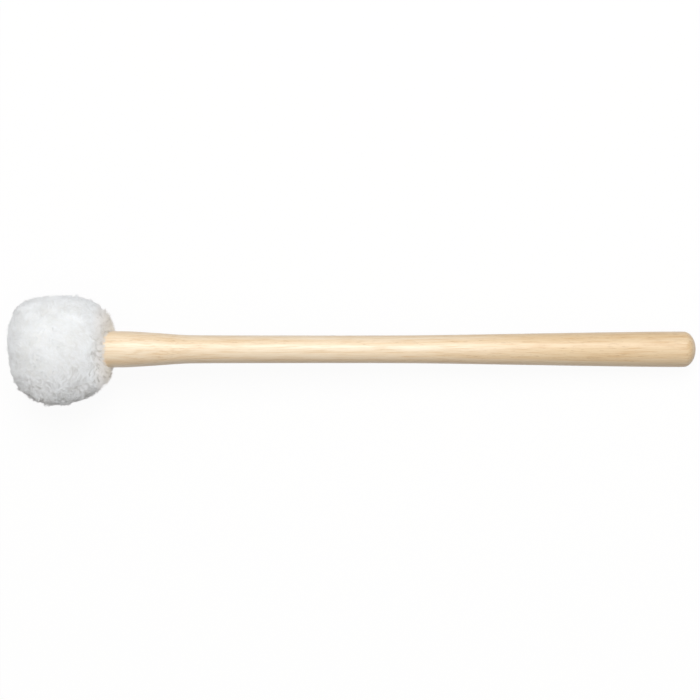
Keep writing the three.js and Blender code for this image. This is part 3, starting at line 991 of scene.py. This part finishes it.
def strand_surface(lines, widths, facing):
    """Corner points and soft normals of many strands: three to a ring, and one at each tip."""
    heading = np.gradient(lines, axis=0)
    heading /= np.linalg.norm(heading, axis=2, keepdims=True)
    first = np.cross(heading, off_axis)
    first /= np.linalg.norm(first, axis=2, keepdims=True)
    second = np.cross(heading, first)
    turned = 2 * math.pi * np.arange(strand_sides) / strand_sides
    spokes = first[:-1, :, None] * np.cos(turned)[:, None] + second[:-1, :, None] * np.sin(turned)[:, None]
    corners = lines[:-1, :, None] + spokes * widths[:-1, None, None, None]
    facing = facing + np.array(axis_z) * wrap
    facing /= np.linalg.norm(facing, axis=1, keepdims=True)
    soft = spokes * (1 - softness) + facing[:, None] * softness
    count = lines.shape[1]
    corners, soft = [part.transpose(1, 0, 2, 3).reshape(count, -1, 3) for part in (corners, soft)]
    corners = np.concatenate([corners, lines[-1][:, None]], axis=1)
    soft = np.concatenate([soft, facing[:, None]], axis=1)
    return corners, soft / np.linalg.norm(soft, axis=2, keepdims=True)


def strand_faces():
    """The triangles of one strand by its own corner numbers, and where each lies on its square."""
    faces, places = [], []
    rows = strand_points - 1
    for row in range(rows - 1):
        for side in range(strand_sides):
            here, there = row * strand_sides + side, row * strand_sides + (side + 1) % strand_sides
            low, high = row / rows, (row + 1) / rows
            left, right = side / strand_sides, (side + 1) / strand_sides
            faces += [(here, there, there + strand_sides), (here, there + strand_sides, here + strand_sides)]
            places += [((left, low), (right, low), (right, high)), ((left, low), (right, high), (left, high))]
    last, low = (rows - 1) * strand_sides, (rows - 1) / rows
    for side in range(strand_sides):
        left, right = side / strand_sides, (side + 1) / strand_sides
        faces.append((last + side, last + (side + 1) % strand_sides, rows * strand_sides))
        places.append(((left, low), (right, low), ((left + right) / 2, 1.0)))
    faces.append((2, 1, 0))
    places.append(((0.0, 0.0), (1 / 3, 0.0), (0.0, 0.1)))
    return np.array(faces), np.array(places)


def make_strands(name, lines, widths, facing):
    """One mesh that holds many strands."""
    count = lines.shape[1]
    corners, soft = strand_surface(lines, widths, facing)
    faces, places = strand_faces()
    triangles = (faces[None] + np.arange(count)[:, None, None] * corners.shape[1]).reshape(-1, 3)
    mesh = bpy.data.meshes.new(name)
    mesh.vertices.add(corners.size // 3)
    mesh.vertices.foreach_set("co", corners.astype(np.float32).ravel())
    mesh.loops.add(triangles.size)
    mesh.loops.foreach_set("vertex_index", triangles.astype(np.int32).ravel())
    mesh.polygons.add(len(triangles))
    mesh.polygons.foreach_set("loop_start", np.arange(0, triangles.size, 3, dtype=np.int32))
    mesh.update(calc_edges=True)
    squares = math.ceil(math.sqrt(count))
    square = np.stack(np.divmod(np.arange(count), squares), axis=1)[:, None, None, :]
    layer = mesh.uv_layers.new(name="OFBake")
    spots = (square + square_margin + (1 - 2 * square_margin) * places[None]) / squares
    layer.data.foreach_set("uv", spots.astype(np.float32).ravel())
    # The place along each strand from root to tip, from which the fleece material paints shade at the roots.
    along = np.append(np.repeat(np.arange(strand_points - 1), strand_sides), strand_points - 1) / (strand_points - 1)
    depth = mesh.attributes.new("along_strand", "FLOAT", "POINT")
    depth.data.foreach_set("value", np.tile(along, count).astype(np.float32))
    mesh.polygons.foreach_set("use_smooth", np.ones(len(triangles), bool))
    mesh.normals_split_custom_set_from_vertices(soft.reshape(-1, 3))
    strands = bpy.data.objects.new(name, mesh)
    bpy.context.scene.collection.objects.link(strands)
    strands.visible_shadow = False
    return strands

# %% Six meshes of strands
mounds = normals + (roots - roots[tufts][tuft_of]) / tuft_spacing * tuft_roundness
over_stick = np.clip((own_roots[:, 0] - lift_start) / lift_length, 0, 1) * (own_roots[:, 2] > 0)
over_stick *= np.exp(-(own_roots[:, 1] / lift_width) ** 2)
mounds += np.array(axis_z) * (over_stick * stick_lift)[:, None]
widths = root_width + (tip_width - root_width) * np.linspace(0, 1, strand_points) ** taper_power
sectors = np.array_split(np.argsort(np.arctan2(own_roots[:, 2], own_roots[:, 1]), kind="stable"), sector_count)
fleece_pieces = [body]
for number, members in enumerate(sectors):
    strands = make_strands(f"fleece_strands_{number + 1}", lines[:, members], widths, mounds[members])
    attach(strands, "root")
    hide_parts("fleece_pile")
    fleece_pieces.append(strands)
    print(f"{strands.name}: {len(strands.data.polygons)} triangles")

# %% [markdown]
# ## White fleece
# The pile is polyester, bleached white and brushed: a matt fibre, so the head looks bright and
# soft, with only faint shade between tufts. The colour moves a very little from tuft to tuft.
# Painted shade makes it a touch darker at the roots, and painted shade and painted warm light
# from the wood make it cream and a little darker beside the stick. Sheen stands for the fuzz
# that is too fine to model.

# %% Fleece material
def white_fleece():
    """White pile: its tone by patch, with painted shade at the roots and painted shade and warm light by the stick.
    """
    fleece = new_material("white_polyester_fleece")
    place = own_axes(fleece)
    patches = add_grain(fleece, place, (6 * MM,) * 3, detail=2.0)
    colour = add_ramp(fleece, patches, [(0.3, "#EBEEF0"), (0.5, "#EFF2F5"), (0.7, "#F2F5F8")])
    along = add_node(fleece, "ShaderNodeAttribute", attribute_name="along_strand").outputs["Fac"]
    # Painted shade: the strands are darker towards their roots, as shade deep in the pile.
    painted_root_shade = add_ramp(fleece, along, [(0.3, "#F6F5F3"), (0.65, "#FFFFFF")])
    colour = add_mix(fleece, 1.0, colour, painted_root_shade, "MULTIPLY")
    rearward = add_node(fleece, "ShaderNodeSeparateXYZ", {"Vector": place}).outputs["X"]
    by_stick = add_node(fleece, "ShaderNodeMapRange", {
        "Value": rearward, "From Min": 18.5 * MM, "From Max": 27 * MM,
    }).outputs["Result"]
    # Painted shade and painted warm light from the wood: the pile beside the stick is darker and creamier.
    painted_shade_by_stick = add_ramp(fleece, by_stick, [(0.0, "#FFFFFF"), (0.5, "#FCF8F4"), (1.0, "#F2EADF")])
    colour = add_mix(fleece, 1.0, colour, painted_shade_by_stick, "MULTIPLY")
    return show_surface(fleece, {
        "Base Color": colour, "Roughness": 0.95, "IOR": 1.4, "Specular IOR Level": 0.2,
        "Sheen Weight": 0.25, "Sheen Roughness": 0.6,
    })


fleece = white_fleece()
for piece in fleece_pieces:
    put_on(piece, fleece)
